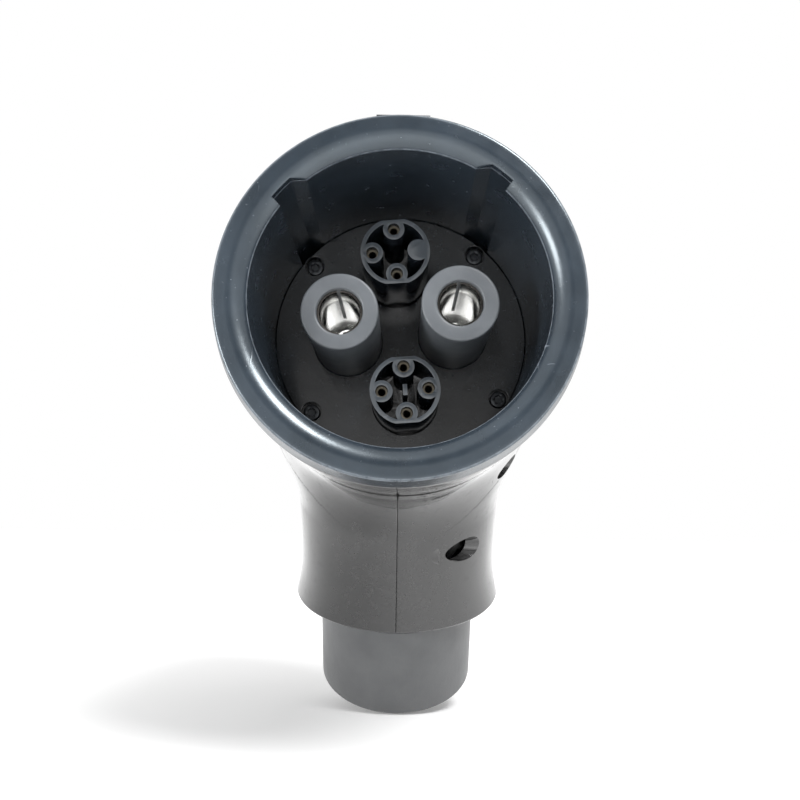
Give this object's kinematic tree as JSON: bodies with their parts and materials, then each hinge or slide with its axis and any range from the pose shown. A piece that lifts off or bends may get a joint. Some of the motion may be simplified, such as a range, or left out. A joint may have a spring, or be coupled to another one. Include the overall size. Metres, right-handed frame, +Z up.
{
  "type": "ev charging plug",
  "caption": "Round DC fast-charging plug: deep nose with power and signal sockets, pistol grip in two half shells, thumb-released top latch, and a plain sleeve for the cable.",
  "frame": {"origin": "centre of the nose's front rim", "axes": "-Y out of the nose towards the inlet, +Z up, +X to the right as seen looking into the nose"},
  "size_m": [0.08, 0.1386, 0.1567],
  "materials": {
    "rim_plastic": "satin black with light scuffs",
    "insert_plastic": "satin black",
    "sleeve_plastic": "satin dark grey",
    "housing_plastic": "polished black",
    "sleeve_tail_plastic": "satin dark grey",
    "button_plastic": "satin black",
    "power_metal": "bright silver plate",
    "signal_metal": "dull plated brass",
    "face_screw_metal": "blackened steel",
    "screw_steel": "zinc-plated steel",
    "latch_metal": "black-coated steel",
    "spring_steel": "bright spring wire",
    "solenoid_case": "grey-coated can",
    "switch_plastic": "black",
    "rubber": "matt black rubber"
  },
  "bodies": {
    "plug": {"nose_ring": "rim_plastic", "collar_gasket": "rubber", "contact_carrier": "insert_plastic", "retainer_plate": "insert_plastic", "power_sleeve_left": "sleeve_plastic", "power_sleeve_right": "sleeve_plastic", "power_contact_left": "power_metal", "power_contact_right": "power_metal", "signal_housing_top": "insert_plastic", "signal_housing_bottom": "insert_plastic", "housing_left": "housing_plastic", "housing_right": "housing_plastic", "latch_pin": "screw_steel", "latch_spring": "spring_steel", "lock_solenoid": "solenoid_case", "latch_switch": "switch_plastic", "cable_sleeve": "sleeve_tail_plastic", "cable_grommet": "rubber", "cable_clamp_front": "insert_plastic", "cable_clamp_rear": "insert_plastic", "clamp_screw_left": "screw_steel", "clamp_screw_right": "screw_steel", "signal_contact_1": "signal_metal", "signal_contact_2": "signal_metal", "signal_contact_3": "signal_metal", "signal_contact_4": "signal_metal", "signal_contact_5": "signal_metal", "signal_contact_6": "signal_metal", "signal_contact_7": "signal_metal", "face_screw_1": "face_screw_metal", "face_screw_2": "face_screw_metal", "face_screw_3": "face_screw_metal", "face_screw_4": "face_screw_metal", "housing_screw_1": "screw_steel", "housing_screw_2": "screw_steel", "housing_screw_3": "screw_steel", "housing_screw_4": "screw_steel", "housing_screw_5": "screw_steel"},
    "release_button": {"release_button": "button_plastic"},
    "latch": {"latch_lever": "latch_metal"},
    "lock": {"lock_plunger": "screw_steel"}
  },
  "joints": [
    {"name": "button_press", "type": "slide", "parent": "plug", "child": "release_button", "axis": [0, 0, -1], "range_m": [0, 0.0021], "stiffness_N_per_m": 600, "springref_m": -0.002},
    {"name": "latch_hinge", "type": "hinge", "parent": "plug", "child": "latch", "pos_m": [0, 0.048, 0.0436], "axis": [-1, 0, 0], "range_deg": [0, 6], "deforming": ["latch_spring"]},
    {"name": "lock_slide", "type": "slide", "parent": "plug", "child": "lock", "axis": [0, 0, -1], "range_m": [0, 0.0032]}
  ],
  "couplings": [
    {"joint": "latch_hinge", "follows": "button_press", "rad_per_m": 47.619},
    {"joint": "lock_slide", "follows": "button_press", "ratio": 1.4857}
  ]
}
